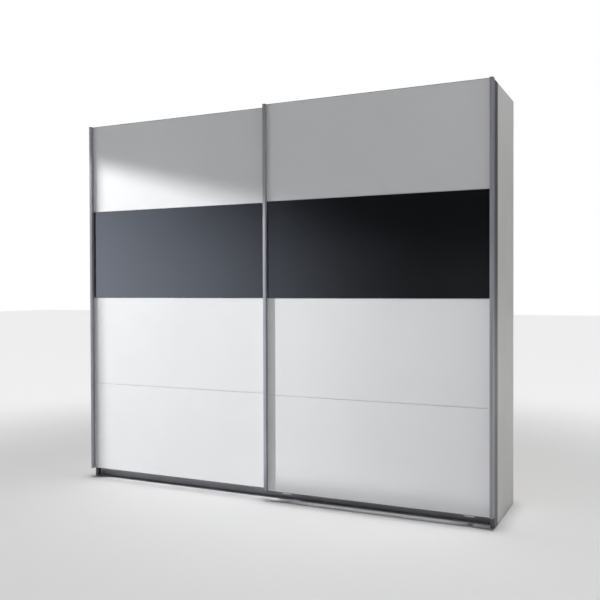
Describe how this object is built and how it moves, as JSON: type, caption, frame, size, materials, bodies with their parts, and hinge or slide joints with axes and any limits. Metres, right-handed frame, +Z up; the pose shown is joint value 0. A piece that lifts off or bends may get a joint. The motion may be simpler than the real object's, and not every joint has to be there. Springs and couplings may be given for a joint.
{
  "type": "sliding door wardrobe",
  "caption": "Wide wardrobe with overlapping top-hung sliding doors, white gloss facings, a dark glass band, aluminium handle profiles, and hanging bays with hat shelves inside.",
  "frame": {"origin": "on the floor, at the middle of the wardrobe's footprint", "axes": "+X to the viewer's right across the front, +Y from the doors to the back, +Z up"},
  "size_m": [2.4, 0.52, 2.1],
  "materials": {
    "white_board": "white melamine-faced chipboard, satin",
    "grey_board": "graphite-grey foil on chipboard, satin",
    "back_hardboard": "white lacquered hardboard",
    "white_plastic": "white extruded plastic",
    "zinc_steel": "bright zinc-plated steel",
    "beech": "plain beech",
    "chrome_tube": "chrome-plated steel",
    "anodised_aluminium": "satin silver anodised",
    "black_rubber": "matt black",
    "black_plastic": "matt black",
    "nylon": "natural white nylon",
    "door_board": "white-backed chipboard",
    "graphite_glass": "back-painted graphite glass, polished and opaque",
    "white_gloss": "high-gloss white lacquered facing",
    "grey_trim": "dark grey moulded plastic"
  },
  "bodies": {
    "carcass": {"back_board_far_left": "back_hardboard", "back_board_far_right": "back_hardboard", "back_board_left": "back_hardboard", "back_board_right": "back_hardboard", "back_joiner_strips": "white_plastic", "cam_fittings": "zinc_steel", "carcass_screws": "zinc_steel", "centre_partition": "white_board", "clothes_rail_cups": "chrome_tube", "dowels": "beech", "floor_glides": "black_plastic", "front_plinth": "grey_board", "guide_rail": "anodised_aluminium", "left_bottom_panel": "white_board", "left_clothes_rail": "chrome_tube", "left_cover_strip": "grey_board", "left_hat_shelf": "white_board", "left_side_panel": "white_board", "left_top_panel": "white_board", "rail_end_stops": "black_rubber", "rear_plinth": "grey_board", "right_bottom_panel": "white_board", "right_clothes_rail": "chrome_tube", "right_cover_strip": "grey_board", "right_hat_shelf": "white_board", "right_side_panel": "white_board", "right_top_panel": "white_board", "running_rail": "anodised_aluminium", "shelf_pins": "zinc_steel", "wall_angles": "zinc_steel"},
    "left_door": {"left_door_axles": "zinc_steel", "left_door_core": "door_board", "left_door_end_caps": "grey_trim", "left_door_floor_guides": "nylon", "left_door_glass_band": "graphite_glass", "left_door_hangers": "zinc_steel", "left_door_left_profile": "anodised_aluminium", "left_door_lower_facing": "white_gloss", "left_door_middle_facing": "white_gloss", "left_door_right_profile": "anodised_aluminium", "left_door_screws": "zinc_steel", "left_door_top_facing": "white_gloss", "left_door_trims": "grey_trim"},
    "left_roller_a": {"left_door_roller_a": "nylon"},
    "left_roller_b": {"left_door_roller_b": "nylon"},
    "right_door": {"right_door_axles": "zinc_steel", "right_door_core": "door_board", "right_door_end_caps": "grey_trim", "right_door_floor_guides": "nylon", "right_door_glass_band": "graphite_glass", "right_door_hangers": "zinc_steel", "right_door_left_profile": "anodised_aluminium", "right_door_lower_facing": "white_gloss", "right_door_middle_facing": "white_gloss", "right_door_right_profile": "anodised_aluminium", "right_door_screws": "zinc_steel", "right_door_top_facing": "white_gloss", "right_door_trims": "grey_trim"},
    "right_roller_a": {"right_door_roller_a": "nylon"},
    "right_roller_b": {"right_door_roller_b": "nylon"}
  },
  "joints": [
    {"name": "left_door_slide", "type": "slide", "parent": "carcass", "child": "left_door", "axis": [1, 0, 0], "range_m": [0, 1.17]},
    {"name": "right_door_slide", "type": "slide", "parent": "carcass", "child": "right_door", "axis": [1, 0, 0], "range_m": [-1.194, 0]},
    {"name": "left_roller_a_spin", "type": "hinge", "parent": "left_door", "child": "left_roller_a", "pos_m": [-1.08, -0.13, 2.0811], "axis": [0, 1, 0], "continuous": true},
    {"name": "left_roller_b_spin", "type": "hinge", "parent": "left_door", "child": "left_roller_b", "pos_m": [-0.117, -0.13, 2.0811], "axis": [0, 1, 0], "continuous": true},
    {"name": "right_roller_a_spin", "type": "hinge", "parent": "right_door", "child": "right_roller_a", "pos_m": [0.117, -0.092, 2.0811], "axis": [0, 1, 0], "continuous": true},
    {"name": "right_roller_b_spin", "type": "hinge", "parent": "right_door", "child": "right_roller_b", "pos_m": [1.08, -0.092, 2.0811], "axis": [0, 1, 0], "continuous": true}
  ],
  "couplings": [
    {"joint": "left_roller_a_spin", "follows": "left_door_slide", "rad_per_m": 90.909},
    {"joint": "left_roller_b_spin", "follows": "left_door_slide", "rad_per_m": 90.909},
    {"joint": "right_roller_a_spin", "follows": "right_door_slide", "rad_per_m": 90.909},
    {"joint": "right_roller_b_spin", "follows": "right_door_slide", "rad_per_m": 90.909}
  ]
}
